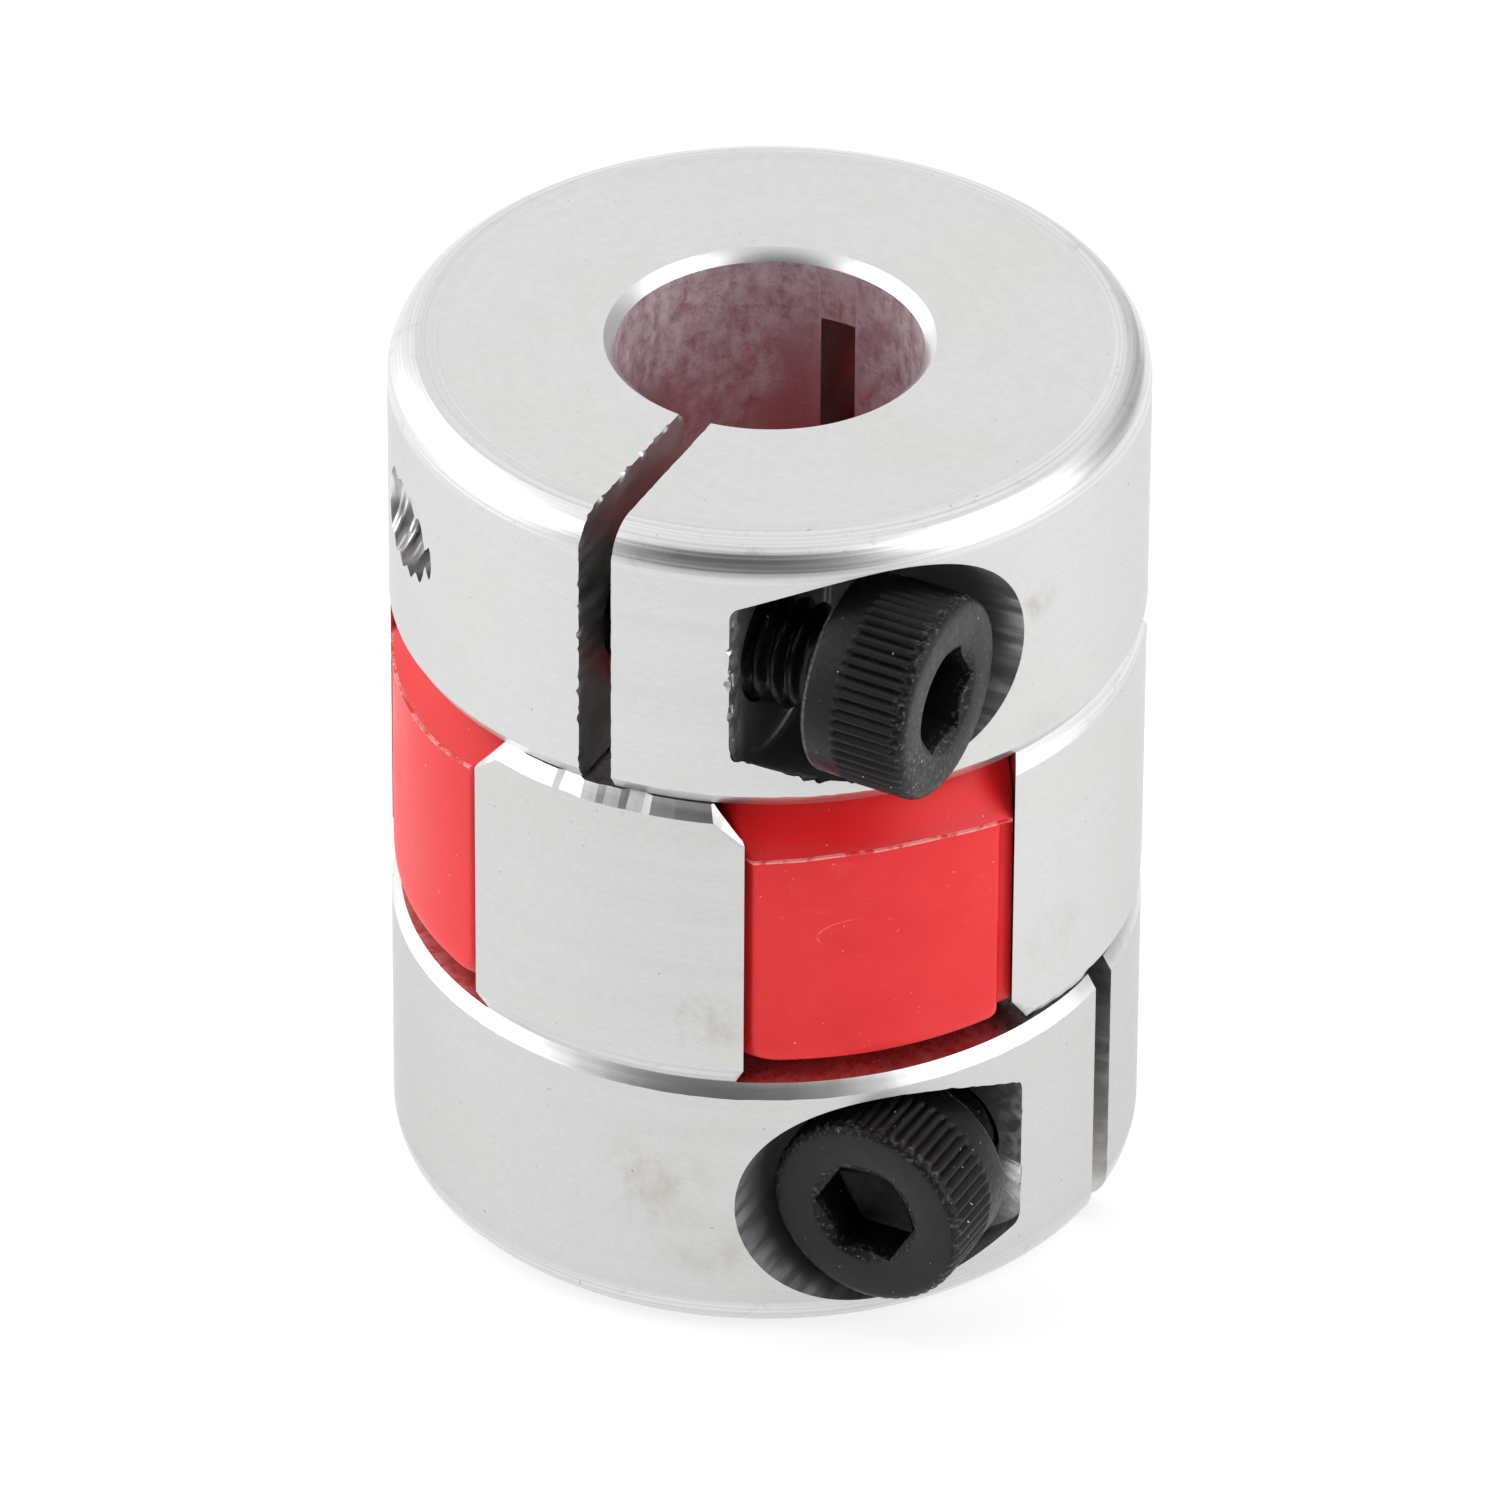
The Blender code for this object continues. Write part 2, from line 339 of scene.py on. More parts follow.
# ==================== material helpers
class Nodes:
    """Short calls for building a material's node tree."""

    def __init__(self, name):
        self.material = bpy.data.materials.new(name)
        self.material.use_nodes = True
        self.tree = self.material.node_tree
        self.shader = self.tree.nodes["Principled BSDF"]
        self.place = self.add("ShaderNodeTexCoord").outputs["Object"]

    def add(self, kind, **settings):
        node = self.tree.nodes.new(kind)
        for key, value in settings.items():
            setattr(node, key, value)
        return node

    def put(self, socket, value):
        if isinstance(value, bpy.types.NodeSocket):
            self.tree.links.new(value, socket)
        else:
            socket.default_value = value

    def math(self, operation, a, b=0.0):
        node = self.add("ShaderNodeMath", operation=operation)
        for socket, value in zip(node.inputs, (a, b)):
            self.put(socket, value)
        return node.outputs[0]

    def vector(self, x, y, z):
        node = self.add("ShaderNodeCombineXYZ")
        for socket, value in zip(node.inputs, (x, y, z)):
            self.put(socket, value)
        return node.outputs[0]

    def scaled(self, vector, factors, offset=(0, 0, 0)):
        node = self.add("ShaderNodeVectorMath", operation="MULTIPLY_ADD")
        self.put(node.inputs[0], vector)
        self.put(node.inputs[1], factors)
        self.put(node.inputs[2], offset)
        return node.outputs[0]

    def split(self, vector):
        node = self.add("ShaderNodeSeparateXYZ")
        self.put(node.inputs[0], vector)
        return node.outputs

    def noise(self, vector, detail, rough):
        node = self.add("ShaderNodeTexNoise")
        self.put(node.inputs["Vector"], vector)
        node.inputs["Scale"].default_value = 1.0
        node.inputs["Detail"].default_value = detail
        node.inputs["Roughness"].default_value = rough
        return node.outputs["Fac"]

    def ramp(self, value, low, high, out_low=0.0, out_high=1.0, kind="SMOOTHSTEP"):
        node = self.add("ShaderNodeMapRange", interpolation_type=kind, clamp=True)
        for socket, number in zip(node.inputs, (value, low, high, out_low, out_high)):
            self.put(socket, number)
        return node.outputs[0]

    def mix(self, share, a, b):
        node = self.add("ShaderNodeMix", data_type="RGBA")
        self.put(node.inputs[0], share)
        self.put(node.inputs[6], a)
        self.put(node.inputs[7], b)
        return node.outputs[2]

    def product(self, a, b):
        return self.math("MULTIPLY", a, b)

    def cloud(self, scales, offset=(0, 0, 0), detail=4.0, rough=0.6):
        """Noise at so many cells per metre along x, y and z."""
        return self.noise(self.scaled(self.place, scales, offset), detail, rough)

    def vector_math(self, operation, vector, constant):
        """DISTANCE or DOT_PRODUCT, whose result is a number."""
        node = self.add("ShaderNodeVectorMath", operation=operation)
        self.put(node.inputs[0], vector)
        node.inputs[1].default_value = constant
        return node.outputs["Value"]

    def radius(self):
        x, y, _ = self.split(self.place)
        return self.math("SQRT", self.math("ADD", self.product(x, x), self.product(y, y)))

    def finish(self, color, roughness, height, depth, fixed):
        """The surface's color, roughness and bump, and the plain values of other sockets."""
        bump = self.add("ShaderNodeBump")
        bump.inputs["Distance"].default_value = depth
        self.put(bump.inputs["Height"], height)
        self.put(self.shader.inputs["Base Color"], color)
        self.put(self.shader.inputs["Roughness"], roughness)
        self.put(self.shader.inputs["Normal"], bump.outputs[0])
        for socket, value in fixed.items():
            self.shader.inputs[socket].default_value = value
        return self.material


def grey(value, warm=0.0):
    return (value * (1 + warm), value, value * (1 - warm), 1.0)


def speckled(n, color, seed, dark, scale=7000, share=0.80, strength=1.0):
    dots = n.cloud((scale, scale, scale), (seed, 0, 9), 0.0, 0.5)
    patch = n.cloud((500, 500, 500), (seed, 2, 0), 2.0, 0.5)
    amount = n.product(n.ramp(dots, share, share + 0.05), n.ramp(patch, 0.40, 0.65))
    return n.mix(n.product(amount, strength), color, dark)


# angle from the camera's, height and radius in mm, color, strength
HANDLING_MARKS = (
    (-10, 9.9, 1.5, (0.42, 0.37, 0.29, 1.0), 0.75),
    (-17, 4.8, 2.0, (0.46, 0.41, 0.33, 1.0), 0.70),
    (-9, 2.9, 1.6, (0.46, 0.41, 0.33, 1.0), 0.55),
    (44, 21.6, 0.8, (0.34, 0.29, 0.24, 1.0), 0.70),
    (49, 10.5, 1.6, (0.50, 0.47, 0.40, 1.0), 0.45),
    (30, 2.3, 1.4, (0.50, 0.47, 0.40, 1.0), 0.45),
    (47, 17.4, 1.4, (0.50, 0.47, 0.40, 1.0), 0.45),
)


def on_skin(degrees, height, radius=OUTER_R):
    """A point of the part's skin, its angle counted from the camera's."""
    angle = CAMERA_AZIMUTH + math.radians(degrees)
    return Vector((radius * math.sin(angle), -radius * math.cos(angle), height))


def stained(n, color, matrix):
    """The brownish handling marks; matrix places the piece in the part."""
    for degrees, height, radius, tint, strength in HANDLING_MARKS:
        mark = matrix.inverted() @ on_skin(degrees, height * MM)
        distance = n.vector_math("DISTANCE", n.place, mark)
        near = n.ramp(distance, 0.25 * radius * MM, radius * MM, 1.0, 0.0)
        patchy = n.ramp(n.cloud((650, 650, 500), (degrees, 0, 0), 5.0, 0.7), 0.38, 0.70)
        color = n.mix(n.product(n.product(near, patchy), strength), color, tint)
    return color


def lathe_lines(n, fine, broad):
    """Two noises that run round the axis, with fine and broad cells per metre across."""
    x, y, z = n.split(n.place)
    across = n.math("SUBTRACT", n.radius(), z)
    soft_x = n.product(x, 60.0)
    soft_y = n.product(y, 60.0)
    lines = n.noise(n.vector(soft_x, soft_y, n.product(across, fine)), 2.0, 0.6)
    bands = n.noise(n.vector(soft_x, soft_y, n.product(across, broad)), 2.0, 0.5)
    return lines, bands


def turned_aluminium(name, seed, matrix, base):
    """Satin aluminium off the lathe: fine lines that run round the part, faint stains, specks."""
    n = Nodes(name)
    lines, bands = lathe_lines(n, 12000.0, 2200.0)
    blotch = n.cloud((150, 150, 110), (seed, 0, 0))
    grit = n.cloud((4500, 4500, 11000), (seed, 0, 0), 3.0, 0.75)
    dull = (base * 0.975, base * 0.985, base * 0.955, 1.0)
    color = n.mix(n.ramp(blotch, 0.35, 0.7), grey(base), dull)
    color = stained(n, color, matrix)
    color = n.mix(n.product(n.ramp(lines, 0.35, 0.65), 0.07), color, grey(base * 0.75))
    color = n.mix(n.product(n.ramp(grit, 0.35, 0.65), 0.16), color, grey(base * 0.68))
    color = speckled(n, color, seed, grey(0.14), 8000, 0.83, 0.7)
    height = n.math("ADD", n.product(lines, 0.6), n.math("ADD", n.product(bands, 0.4), grit))
    return n.finish(color, n.ramp(bands, 0.3, 0.7, 0.30, 0.39), height, 0.004 * MM, {
        "Metallic": 0.70,
        "Specular IOR Level": 0.30,
        "Specular Tint": (0.70, 0.70, 0.70, 1.0),
        "Anisotropic": 0.35,
        "Anisotropic Rotation": 0.25,
    })


def polished_aluminium(name, seed):
    """The rounded rim, chamfers and grooves: brighter cuts with a few clear tool lines."""
    n = Nodes(name)
    base = 0.74
    lines, bands = lathe_lines(n, 9000.0, 4200.0)
    patch = n.cloud((1500, 1500, 1500), (seed, 0, 0), 4.0, 0.7)
    color = n.mix(n.ramp(lines, 0.35, 0.65), grey(base * 1.02), grey(base * 0.84))
    color = n.mix(n.product(n.ramp(patch, 0.56, 0.72), 0.35), color, grey(base * 0.55))
    color = speckled(n, color, seed, grey(0.16), strength=0.5)
    height = n.math("ADD", lines, n.product(bands, 1.4))
    return n.finish(color, n.ramp(bands, 0.3, 0.7, 0.26, 0.39), height, 0.0035 * MM, {"Metallic": 1.0})


def milled_aluminium(name, seed):
    """Aluminium cut by an end mill: lines that run up and down."""
    n = Nodes(name)
    base = 0.72
    lines = n.cloud((4200, 4200, 120), (seed, 0, 0), 3.0)
    shade = n.cloud((900, 900, 900), (seed, 4, 0))
    color = n.mix(n.ramp(shade, 0.3, 0.75), grey(base, 0.01), grey(base * 0.84, 0.015))
    return n.finish(color, n.ramp(lines, 0.3, 0.7, 0.25, 0.40), lines, 0.002 * MM, {"Metallic": 1.0})


def bored_aluminium(name, seed):
    """The bore: reamed, with faint rings and cloudy, dull scuffs, more of them near its mouth; its pink
    tint is a painted reflection of the red spider.
    """
    n = Nodes(name)
    x, y, z = n.split(n.place)
    rings = n.noise(n.vector(n.product(x, 50.0), n.product(y, 50.0), n.product(z, 7000.0)), 2.0, 0.6)
    streak = n.cloud((2400, 2400, 1700), (seed, 0, 0), 6.0, 0.78)
    patch = n.cloud((300, 300, 260), (seed, 3, 0), 2.0)
    near_end = n.ramp(n.math("ABSOLUTE", z), END_Z - 4.5 * MM, END_Z - 0.8 * MM, 0.0, 0.22, "LINEAR")
    cloud = n.math("ADD", patch, near_end)
    scuffs = n.product(n.ramp(streak, 0.30, 0.66), n.ramp(cloud, 0.36, 0.66))
    # the pink tint of both colours is a painted reflection of the red spider
    color = n.mix(scuffs, (0.62, 0.45, 0.49, 1.0), (0.68, 0.60, 0.63, 1.0))
    color = n.mix(n.product(rings, 0.10), color, grey(0.5))
    n.put(n.shader.inputs["Metallic"], n.math("SUBTRACT", 0.88, n.product(scuffs, 0.50)))
    height = n.math("ADD", rings, n.product(streak, 2.0))
    return n.finish(color, n.math("ADD", n.product(scuffs, 0.10), 0.46), height, 0.010 * MM, {})


def sawn_aluminium(name, seed):
    """The slit and the holes: dull cuts, with painted shade that darkens them towards the jaws."""
    n = Nodes(name)
    lines = n.cloud((500, 500, 3000), (seed, 0, 0), 3.0)
    shade = n.cloud((500, 500, 500), (seed, 4, 0))
    # painted shade: darker deep in the slit, towards the face between the jaws
    low = n.ramp(n.split(n.place)[2], FACE_Z, FACE_Z + 3.0 * MM, 0.55, 1.0)
    tone = n.product(low, n.ramp(shade, 0.3, 0.7, 1.0, 0.75))
    color = n.mix(tone, grey(0.0), grey(0.76, 0.02))
    return n.finish(color, n.ramp(lines, 0.3, 0.7, 0.29, 0.44), lines, 0.006 * MM, {"Metallic": 1.0})


def pocket_aluminium(name, seed):
    """The screw pocket: painted shade makes it dark inside; towards its rim it is lighter, with milled
    streaks.
    """
    n = Nodes(name)
    lines = n.cloud((300, 2600, 2600), (seed, 0, 0), 3.0)
    # painted shade: dark deep in the pocket, lighter towards its rim
    depth = n.ramp(n.radius(), 8.9 * MM, 9.95 * MM)
    tone = n.product(depth, n.ramp(lines, 0.35, 0.65, 0.30, 1.0))
    color = n.mix(tone, grey(0.34), grey(0.88))
    return n.finish(color, n.ramp(lines, 0.3, 0.7, 0.28, 0.46), lines, 0.008 * MM, {
        "Metallic": 0.85,
        "Specular IOR Level": 0.2,
    })


def moulded(n, color, mottled, grain):
    return n.finish(color, n.ramp(mottled, 0.3, 0.7, 0.36, 0.48), grain, 0.008 * MM, {
        "Subsurface Weight": 0.08,
        "Subsurface Radius": (1.0, 0.10, 0.08),
        "Subsurface Scale": 0.5 * MM,
        "Specular IOR Level": 0.30,
    })


# angle from the camera's, height and radius in mm, how much flatter than a circle
SCUFF_ARC = (14.0, 0.3, 1.1, 2.4)


def red_polyurethane():
    n = Nodes("red_polyurethane")
    z = n.split(n.place)[2]
    mottled = n.cloud((300, 300, 300), rough=0.55)
    grain = n.cloud((3000, 3000, 3000), detail=3.0)
    scuff = n.cloud((700, 700, 2200), (3, 0, 0), 4.0, 0.7)
    color = n.mix(n.ramp(mottled, 0.3, 0.7), (0.73, 0.014, 0.018, 1.0), (0.80, 0.026, 0.030, 1.0))
    # painted shade: a deeper red on the slope above the flash line, under the hub
    painted_shade_slope = n.ramp(z, FLASH_Z + 0.05 * MM, FLASH_Z + 0.35 * MM)
    color = n.mix(n.product(painted_shade_slope, 0.7), color, (0.86, 0.006, 0.007, 1.0))
    color = n.mix(n.product(n.ramp(scuff, 0.60, 0.82), 0.22), color, (0.86, 0.16, 0.14, 1.0))
    degrees, height, radius, squash = SCUFF_ARC
    middle = on_skin(degrees, height * MM * squash, 9.94 * MM)
    distance = n.vector_math("DISTANCE", n.scaled(n.place, (1, 1, squash)), middle)
    gap = n.math("ABSOLUTE", n.math("SUBTRACT", distance, radius * MM))
    line = n.product(n.ramp(gap, 0.015 * MM, 0.05 * MM, 1.0, 0.0), n.ramp(scuff, 0.50, 0.58))
    color = n.mix(n.product(line, 0.25), color, (0.95, 0.40, 0.38, 1.0))
    color = speckled(n, color, 4, (0.95, 0.50, 0.46, 1.0), 13000, 0.82, 0.7)
    height = n.math("ADD", n.product(grain, 0.6), n.product(scuff, 0.8))
    return moulded(n, color, mottled, height)


def flash_polyurethane():
    """The thin fin where the halves of the mould met, paler in broken places."""
    n = Nodes("flash_polyurethane")
    broken = n.cloud((1800, 1800, 0), (1, 7, 0), 3.0, 0.7)
    grain = n.cloud((4000, 4000, 4000), detail=3.0)
    color = n.mix(n.ramp(broken, 0.42, 0.55), (0.74, 0.04, 0.04, 1.0), (0.88, 0.30, 0.28, 1.0))
    return moulded(n, color, broken, grain)


def black_oxide(name, seed, axis):
    """Black oxide on steel, a little worn round the head's rim, with a painted highlight, broken up by
    wear, along its lower edge.
    """
    n = Nodes(name)
    mottled = n.cloud((700, 700, 700), (seed, 0, 0))
    grain = n.cloud((5200, 5200, 5200), (seed, 0, 0), 3.0, 0.65)
    wear = n.cloud((6500, 6500, 6500), (seed, 6, 0), 4.0, 0.75)
    along_axis = n.vector_math("DOT_PRODUCT", n.place, axis)
    head_start = SCREW_LENGTH - HEAD_LENGTH
    rim = n.ramp(along_axis, SCREW_LENGTH - 0.55 * MM, SCREW_LENGTH - 0.15 * MM)
    band = n.ramp(along_axis, head_start, head_start + 0.9 * MM, 1.0, 0.0)
    face = n.ramp(along_axis, SCREW_LENGTH - 0.05 * MM, SCREW_LENGTH - 0.01 * MM)
    color = n.mix(n.ramp(mottled, 0.3, 0.7), grey(0.002), grey(0.006, 0.01))
    color = n.mix(n.product(face, 0.8), color, grey(0.020))
    worn = n.product(n.product(rim, n.math("SUBTRACT", 1.0, face)), n.ramp(wear, 0.52, 0.64))
    color = n.mix(n.product(worn, 0.5), color, grey(0.14))
    # painted highlight: a lighter line along the head's lower edge, broken up by the wear noise
    under = n.math("SUBTRACT", along_axis, head_start + 0.11 * MM)
    edge = n.ramp(n.math("ABSOLUTE", under), 0.03 * MM, 0.08 * MM, 1.0, 0.0)
    color = n.mix(n.product(edge, n.ramp(wear, 0.42, 0.56, 0.2, 0.8)), color, grey(0.10))
    color = speckled(n, color, seed, grey(0.6), 9000, 0.825)
    gloss = n.math("SUBTRACT", n.ramp(grain, 0.3, 0.7, 0.34, 0.48), n.product(band, 0.08))
    return n.finish(color, gloss, grain, 0.012 * MM, {"Specular IOR Level": 0.21})


# ==================== hubs
HUB_SLOTS = range(6)
TURNED, POLISHED, MILLED, BORED, SAWN, POCKETED = HUB_SLOTS


def hub_profile():
    """(r, z, slot of the band that follows), from the bore round the outside and back."""
    rows = [(BORE_R + BORE_CHAMFER, END_Z, TURNED)]
    for ring_r in TOOL_RINGS:
        rows.append((ring_r * MM, END_Z, TURNED))
        rows.append(((ring_r + 0.03) * MM, END_Z - 0.010 * MM, TURNED))
        rows.append(((ring_r + 0.06) * MM, END_Z - 0.001 * MM, TURNED))
    feed = random.Random(5)
    center = (OUTER_R - END_FILLET, END_Z - END_FILLET)
    for i in range(FILLET_STEPS + 1):
        mark = 0 if i == FILLET_STEPS else FILLET_MARK * feed.random()
        angle = math.radians(88 * (1 - i / FILLET_STEPS))
        reach = END_FILLET - mark
        slot = TURNED if i == FILLET_STEPS else POLISHED
        rows.append((center[0] + reach * math.cos(angle), center[1] + reach * math.sin(angle), slot))
    wall_top = END_Z - END_FILLET
    wall_low = FACE_Z + GROOVE_ABOVE
    for i in range(1, WALL_ROWS):
        rows.append((OUTER_R, wall_top + (wall_low - wall_top) * i / WALL_ROWS, TURNED))
    rows += [
        (OUTER_R, wall_low, POLISHED),
        (OUTER_R - GROOVE_DEPTH, FACE_Z - 0.02 * MM, POLISHED),
        (OUTER_R, FACE_Z - GROOVE_BELOW, TURNED),
    ]
    low = TIP_Z + TIP_CHAMFER
    for i in range(1, JAW_ROWS):
        z = FACE_Z - GROOVE_BELOW + (low - FACE_Z + GROOVE_BELOW) * i / JAW_ROWS
        rows.append((OUTER_R, z, TURNED))
    rows += [
        (OUTER_R, low, POLISHED),
        (OUTER_R - TIP_CHAMFER_DEEP, TIP_Z, MILLED),
        (JAW_INNER_R, TIP_Z, MILLED),
        (JAW_INNER_R, FACE_Z, MILLED),
        (BORE_R + BORE_CHAMFER, FACE_Z, POLISHED),
        (BORE_R, FACE_Z + BORE_CHAMFER, BORED),
        (BORE_R, END_Z - BORE_CHAMFER, POLISHED),
    ]
    return rows


def lobe_space_profile():
    return [
        (0, FACE_Z),
        (LOBE_SPACE_R, FACE_Z),
        (LOBE_SPACE_R, TIP_Z + LEAD_IN_HEIGHT),
        (LOBE_SPACE_R + LEAD_IN_WIDTH * (1 + PAST / LEAD_IN_HEIGHT), TIP_Z - PAST),
        (0, TIP_Z - PAST),
    ]


def wedge_mesh(side):
    """A quarter of the space round the axis, on one side, from the tips to the hub's face."""
    build = bmesh.new()
    reach = OUTER_R + PAST
    corners = [(0, 0), (-reach, side * reach), (reach, side * reach)]
    face = build.faces.new([build.verts.new((x, y, TIP_Z - PAST)) for x, y in corners])
    raised = bmesh.ops.extrude_face_region(build, geom=[face])["geom"]
    top = [v for v in raised if isinstance(v, bmesh.types.BMVert)]
    bmesh.ops.translate(build, verts=top, vec=(0, 0, FACE_Z - TIP_Z + PAST))
    return finished(build, "wedge")


def outer_point(degrees, z, r=OUTER_R):
    angle = math.radians(degrees)
    return Vector((r * math.cos(angle), r * math.sin(angle), z))


def corner_facet_mesh(jaw, side, bite):
    """A small block that shaves the outer corner of a jaw's lead-in to a flat."""
    lobe_half = math.acos(
        (OUTER_R**2 + LOBE_PITCH_R**2 - LOBE_SPACE_R**2) / (2 * OUTER_R * LOBE_PITCH_R))
    edge = 45 - math.degrees(lobe_half)
    first = outer_point(jaw + side * (edge - 5.0 - bite), TIP_Z + 0.38 * MM)
    second = outer_point(jaw + side * (edge - 0.7), TIP_Z + 1.0 * MM)
    third = outer_point(jaw + side * (edge - 1.8), TIP_Z + 0.46 * MM, OUTER_R - 0.3 * MM)
    normal = (second - first).cross(third - first).normalized()
    if normal.dot(outer_point(jaw + side * edge, TIP_Z)) < 0:
        normal = -normal
    mesh = box_mesh("facet", (-FACET_SIZE, -FACET_SIZE, 0), (FACET_SIZE, FACET_SIZE, FACET_SIZE))
    return along(mesh, (first + second) / 2, normal)


def pocket_mesh():
    """A flat-bottomed round pocket along +Z with a small radius round its bottom."""
    length = OUTER_R + PAST - SEAT_FROM_SLIT
    profile = [(0, 0)]
    for i in range(7):
        turn = math.pi / 2 * i / 6
        r = POCKET_R - POCKET_CORNER * (1 - math.sin(turn))
        profile.append((r, POCKET_CORNER * (1 - math.cos(turn))))
    profile += [(POCKET_R, POCKET_CORNER + (length - POCKET_CORNER) * i / 70) for i in range(1, 71)]
    profile.append((0, length))
    return turned_mesh("pocket", profile, POCKET_SEGMENTS)


def clean_cutters(seed):
    """(name, mesh, slot) of the cuts whose edges are broken afterwards."""
    cutters = []
    for i in range(4):
        mesh = turned_mesh("lobe_space", lobe_space_profile(), LOBE_SPACE_SEGMENTS)
        mesh.transform(Matrix.Translation(outer_point(45 + 90 * i, 0, LOBE_PITCH_R)))
        cutters.append((f"space_{i}", mesh, MILLED))
    for side in (-1, 1):
        cutters.append((f"wedge_{side}", wedge_mesh(side), MILLED))
    for jaw in (0, 180):
        for side in (-1, 1):
            bite = 0.5 * noise.noise(Vector((jaw, side, seed)))
            cutters.append((f"facet_{jaw}_{side}", corner_facet_mesh(jaw, side, bite), POLISHED))
    relief = box_mesh(
        "relief", (-RELIEF_WIDTH / 2, BORE_R / 2, FACE_Z - 0.5 * MM),
        (RELIEF_WIDTH / 2, BORE_R + RELIEF_DEPTH, END_Z - RELIEF_BELOW_END),
    )
    cutters.append(("relief", relief, SAWN))
    return cutters


def near_skin(depth, reach=BITE_REACH):
    """1 at the hub's skin, and less with depth: nicks stay close to the edge of a cut."""
    return math.exp(-abs(depth) / reach)


def skin_depth(point):
    return OUTER_R - math.hypot(point.x, point.y)


def nick(point):
    return max(0.0, noise.noise(point))


def slit_mesh(seed, torn):
    """The saw's cut, with one edge more nicked than the other."""
    mesh = box_mesh(
        "slit", (-SLIT_WIDTH / 2, -OUTER_R - PAST, FACE_Z - 0.5 * MM),
        (SLIT_WIDTH / 2, -BORE_R / 2, END_Z + PAST), (1, 96, 110),
    )
    for vert in mesh.vertices:
        near = near_skin(min(OUTER_R + vert.co.y, END_Z - vert.co.z))
        side = 1 if vert.co.x > 0 else -1
        point = Vector((side * 7.3 + seed, vert.co.y / MM * BITE_GRAIN, vert.co.z / MM * BITE_GRAIN))
        vert.co.x += side * SLIT_BITE * torn * near * (nick(point) * (1.0 if side < 0 else 0.25))
    return mesh


def burred(point):
    """How torn the pocket's rim is at a point: low down and near the seat."""
    low = min(1.0, max(0.0, (SCREW_Z - 0.6 * MM - point.z) / MM))
    return low * min(1.0, max(0.0, (7.5 * MM - point.x) / (2 * MM)))


def torn_pocket_mesh(seed, torn):
    """The pocket, widened just under the skin by small bites where its rim is burred."""
    middle = Vector((0, -SCREW_OFFSET, SCREW_Z))
    axis = Vector((1, 0, 0))
    mesh = along(pocket_mesh(), (SEAT_FROM_SLIT, -SCREW_OFFSET, SCREW_Z), axis)
    for vert in mesh.vertices:
        near = near_skin(min(skin_depth(vert.co), END_Z - vert.co.z))
        away = vert.co - middle
        away -= axis * away.dot(axis)
        bite = nick(vert.co / MM * BITE_GRAIN + Vector((seed, 0, 0)))
        if away.length > 0:
            vert.co += away.normalized() * (POCKET_BITE * torn) * near * bite * burred(vert.co)
    give_slot(mesh, POCKETED)
    for polygon in mesh.polygons:
        if torn * burred(polygon.center) > 0.4 and abs(skin_depth(polygon.center)) < BURR_DEPTH:
            polygon.material_index = POLISHED
    return mesh


def torn_side_mesh(seed, torn):
    """A thin cut along the pocket's floor that nicks the edge it leaves in the skin."""
    mesh = box_mesh(
        "torn_side", (SEAT_FROM_SLIT + 0.02 * MM, -OUTER_R - PAST, SCREW_Z - 1.9 * MM),
        (SEAT_FROM_SLIT + 0.5 * MM, -OUTER_R + 0.9 * MM, SCREW_Z + 1.9 * MM), (1, 24, 40),
    )
    for vert in mesh.vertices:
        if vert.co.x < SEAT_FROM_SLIT + 0.2 * MM:
            near = near_skin(skin_depth(vert.co), 0.2 * MM)
            bite = nick(vert.co / MM * BITE_GRAIN + Vector((seed, 3, 0)))
            vert.co.x -= POCKET_BITE * torn * near * bite
    return mesh


def rough_cutters(seed, torn):
    """(name, mesh, slot) of the cuts whose edges are left as the tool made them; torn is
    how ragged they are. The pocket brings its own slots."""
    start = (0, -SCREW_OFFSET, SCREW_Z)
    thread_start = (-TAPPED_LENGTH + THREAD_PITCH, -SCREW_OFFSET, SCREW_Z)
    clearance = rod_mesh("clearance", CLEARANCE_R, SEAT_FROM_SLIT + PAST)
    tapped = rod_mesh("tapped", TAPPED_R, TAPPED_LENGTH)
    thread = threaded_mesh("thread", THREAD_ROOT_R, THREAD_CORE_R, 16 * THREAD_PITCH)
    return [
        ("slit", slit_mesh(seed, torn), SAWN),
        ("pocket", torn_pocket_mesh(seed, torn), None),
        ("torn_side", torn_side_mesh(seed, torn), POCKETED),
        ("clearance", along(clearance, start, (1, 0, 0)), SAWN),
        ("tapped", along(tapped, start, (-1, 0, 0)), SAWN),
        ("thread", along(thread, thread_start, (-1, *THREAD_LEAN)), MILLED),
    ]


def cut(blank, cutters, materials):
    helpers = []
    for cutter_name, mesh, slot in cutters:
        if slot is not None:
            give_slot(mesh, slot)
        helper = add_object(cutter_name, mesh)
        set_materials(helper, materials)
        subtract(blank, helper)
        helpers.append(helper)
    apply_all(blank, helpers)
    tidy_mesh(blank.data)


